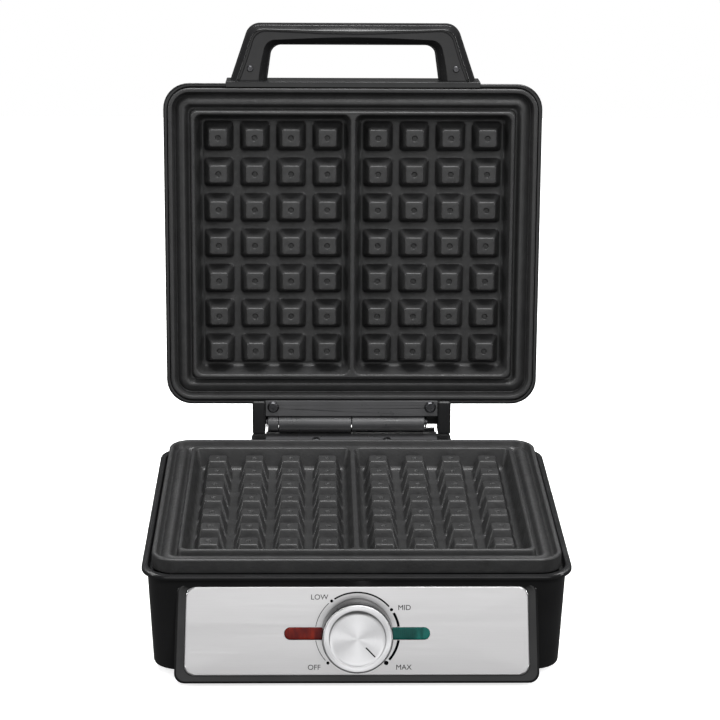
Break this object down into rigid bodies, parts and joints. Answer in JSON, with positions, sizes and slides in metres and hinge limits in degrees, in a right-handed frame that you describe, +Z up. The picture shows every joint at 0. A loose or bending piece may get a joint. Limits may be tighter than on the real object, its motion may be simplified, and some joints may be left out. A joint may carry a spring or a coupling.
{
  "type": "waffle maker",
  "caption": "Double square waffle maker with grid plates, a swinging lid with a loop handle, and a front heat dial between two lamp windows.",
  "frame": {"origin": "on the surface it stands on, under the middle of the open appliance's bounding box", "axes": "+Z up, -Y towards the user and the dial, +X to the user's right"},
  "size_m": [0.2556, 0.3026, 0.3503],
  "materials": {
    "black_gloss_plastic": "moulded, high gloss",
    "black_satin_plastic": "moulded, satin",
    "black_matte_plastic": "moulded, matt",
    "stainless_panel": "satin stainless sheet with black dial print",
    "nonstick_cast": "cast, black speckled non-stick coating",
    "knob_spun_metal": "turned and polished in circles",
    "zinc_steel": "zinc plated",
    "element_steel": "heat-tinted tube",
    "brass_pins": "bright",
    "black_steel": "black, fine textured coat",
    "black_screws": "black oxide",
    "black_rubber": "moulded, matt",
    "white_ceramic": "steatite",
    "lamp_glass": "clear",
    "red_lens": "ribbed, transparent red",
    "green_lens": "ribbed, transparent green"
  },
  "bodies": {
    "base": {"base_housing": "black_gloss_plastic", "front_bezel": "black_gloss_plastic", "control_panel": "stainless_panel", "green_lens": "green_lens", "red_lens": "red_lens", "indicator_lamps": "lamp_glass", "lamp_holder": "black_matte_plastic", "thermostat": "white_ceramic", "thermostat_bracket": "zinc_steel", "bottom_cover": "black_matte_plastic", "bottom_screws": "zinc_steel", "rubber_feet": "black_rubber", "cord_gland": "black_matte_plastic", "terminal_block": "white_ceramic", "thermal_fuse": "white_ceramic", "bezel_screws": "zinc_steel", "lower_plate": "nonstick_cast", "lower_heating_element": "element_steel", "lower_element_terminals": "brass_pins", "lower_heat_shield": "zinc_steel", "lower_plate_screws": "zinc_steel", "lower_hinge_bracket": "black_steel", "lower_bracket_screws": "black_screws", "hinge_pin": "black_screws", "hinge_pin_clip": "black_screws"},
    "lid": {"lid_shell": "black_gloss_plastic", "upper_plate": "nonstick_cast", "upper_heating_element": "element_steel", "upper_element_terminals": "brass_pins", "upper_heat_shield": "zinc_steel", "upper_plate_screws": "zinc_steel", "upper_hinge_bracket": "black_steel", "upper_bracket_screws": "black_screws", "handle_foot": "black_gloss_plastic", "handle_grip": "black_gloss_plastic", "handle_cover": "black_satin_plastic", "handle_screws": "black_screws"},
    "knob": {"knob_skirt": "black_gloss_plastic", "knob_face": "knob_spun_metal", "knob_pointer": "black_matte_plastic", "thermostat_shaft": "zinc_steel"}
  },
  "joints": [
    {"name": "lid_hinge", "type": "hinge", "parent": "base", "child": "lid", "pos_m": [0, 0.1014, 0.0834], "axis": [1, 0, 0], "range_deg": [0, 94.38]},
    {"name": "knob_turn", "type": "hinge", "parent": "base", "child": "knob", "pos_m": [0, -0.13333, 0.0332], "axis": [0, -0.9848, 0.1736], "range_deg": [0, 272]}
  ]
}
